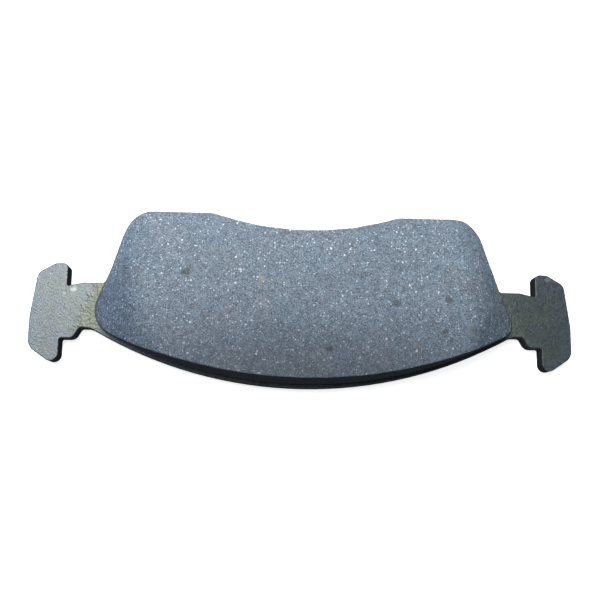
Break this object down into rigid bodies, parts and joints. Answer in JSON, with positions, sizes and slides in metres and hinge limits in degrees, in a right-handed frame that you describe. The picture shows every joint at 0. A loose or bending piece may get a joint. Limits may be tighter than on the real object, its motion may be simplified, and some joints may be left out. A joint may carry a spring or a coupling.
{
  "type": "disc brake pad",
  "caption": "Flat disc brake pad: a bow-shaped moulded friction block with chamfered ends on a stamped steel plate whose hammerhead ears slide in a caliper bracket.",
  "frame": {"origin": "centre of the pad's bounding box, on the back of the plate", "axes": "+X along the pad's length, +Y toward the disc's hub (the hollow edge), +Z out of the friction face"},
  "size_m": [0.15, 0.0468, 0.016],
  "materials": {
    "plate_steel": "satin grey-green coat on shot-blasted steel",
    "bond_film": "dull cured adhesive",
    "under_compound": "rough moulded compound",
    "friction_compound": "matte ground compound with pale flecks"
  },
  "bodies": {
    "root": {"backing_plate": "plate_steel", "adhesive_layer": "bond_film", "underlayer": "under_compound", "friction_block": "friction_compound"}
  },
  "joints": []
}
